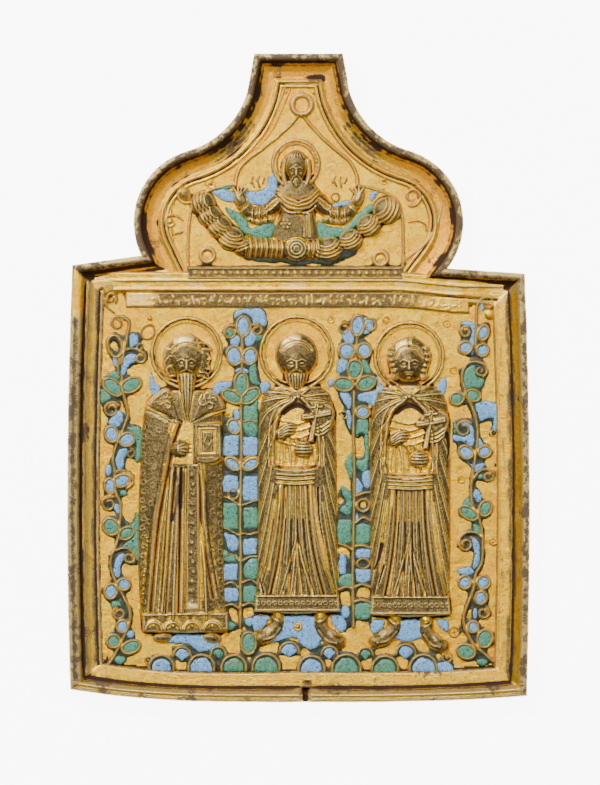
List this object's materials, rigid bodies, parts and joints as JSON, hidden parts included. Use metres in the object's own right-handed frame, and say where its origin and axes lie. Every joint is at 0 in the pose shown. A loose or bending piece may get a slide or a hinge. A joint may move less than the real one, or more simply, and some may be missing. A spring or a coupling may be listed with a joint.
{
  "type": "travel icon",
  "caption": "Small cast brass icon plaque with raised saints under haloes, leafy enamelled borders and an ogee crest, lying on its back.",
  "frame": {"origin": "middle of the outline, on the back plane that the icon lies on", "axes": "+Z out of the front face, +Y towards the crest, +X to the right as the front is seen"},
  "size_m": [0.0716, 0.1002, 0.0046],
  "materials": {
    "gilt_brass": "cast brass with worn gilding, brown patina in the hollows and rubbed high points",
    "blue_enamel": "opaque light blue enamel, pitted, dark at its edges",
    "green_enamel": "opaque teal green enamel, pitted, dark at its edges"
  },
  "bodies": {
    "root": {"blue_enamel_left_stem_00": "blue_enamel", "blue_enamel_left_stem_01": "blue_enamel", "blue_enamel_left_stem_02": "blue_enamel", "blue_enamel_left_stem_06": "blue_enamel", "blue_enamel_left_stem_08": "blue_enamel", "blue_enamel_left_stem_09": "blue_enamel", "blue_enamel_left_stem_12": "blue_enamel", "blue_enamel_left_stem_13": "blue_enamel", "blue_enamel_left_vine_01": "blue_enamel", "blue_enamel_left_vine_04": "blue_enamel", "blue_enamel_left_vine_05": "blue_enamel", "blue_enamel_left_vine_06": "blue_enamel", "blue_enamel_left_vine_07": "blue_enamel", "blue_enamel_left_vine_10": "blue_enamel", "blue_enamel_left_vine_11": "blue_enamel", "blue_enamel_right_stem_00": "blue_enamel", "blue_enamel_right_stem_01": "blue_enamel", "blue_enamel_right_stem_02": "blue_enamel", "blue_enamel_right_stem_06": "blue_enamel", "blue_enamel_right_stem_07": "blue_enamel", "blue_enamel_right_stem_09": "blue_enamel", "blue_enamel_right_stem_13": "blue_enamel", "blue_enamel_right_vine_00": "blue_enamel", "blue_enamel_right_vine_01": "blue_enamel", "blue_enamel_right_vine_04": "blue_enamel", "blue_enamel_right_vine_05": "blue_enamel", "blue_enamel_right_vine_08": "blue_enamel", "blue_enamel_right_vine_09": "blue_enamel", "blue_enamel_scallop_00": "blue_enamel", "blue_enamel_scallop_01": "blue_enamel", "blue_enamel_scallop_04": "blue_enamel", "blue_enamel_scallop_07": "blue_enamel", "cast_plate": "gilt_brass", "green_enamel_left_stem_03": "green_enamel", "green_enamel_left_stem_04": "green_enamel", "green_enamel_left_stem_05": "green_enamel", "green_enamel_left_stem_07": "green_enamel", "green_enamel_left_stem_10": "green_enamel", "green_enamel_left_stem_11": "green_enamel", "green_enamel_left_vine_02": "green_enamel", "green_enamel_left_vine_03": "green_enamel", "green_enamel_left_vine_08": "green_enamel", "green_enamel_left_vine_09": "green_enamel", "green_enamel_left_vine_12": "green_enamel", "green_enamel_left_vine_13": "green_enamel", "green_enamel_right_stem_03": "green_enamel", "green_enamel_right_stem_04": "green_enamel", "green_enamel_right_stem_05": "green_enamel", "green_enamel_right_stem_10": "green_enamel", "green_enamel_right_stem_11": "green_enamel", "green_enamel_right_vine_02": "green_enamel", "green_enamel_right_vine_03": "green_enamel", "green_enamel_right_vine_06": "green_enamel", "green_enamel_right_vine_07": "green_enamel", "green_enamel_right_vine_10": "green_enamel", "green_enamel_right_vine_11": "green_enamel", "green_enamel_scallop_02": "green_enamel", "green_enamel_scallop_03": "green_enamel", "green_enamel_scallop_05": "green_enamel", "green_enamel_scallop_06": "green_enamel"}
  },
  "joints": []
}
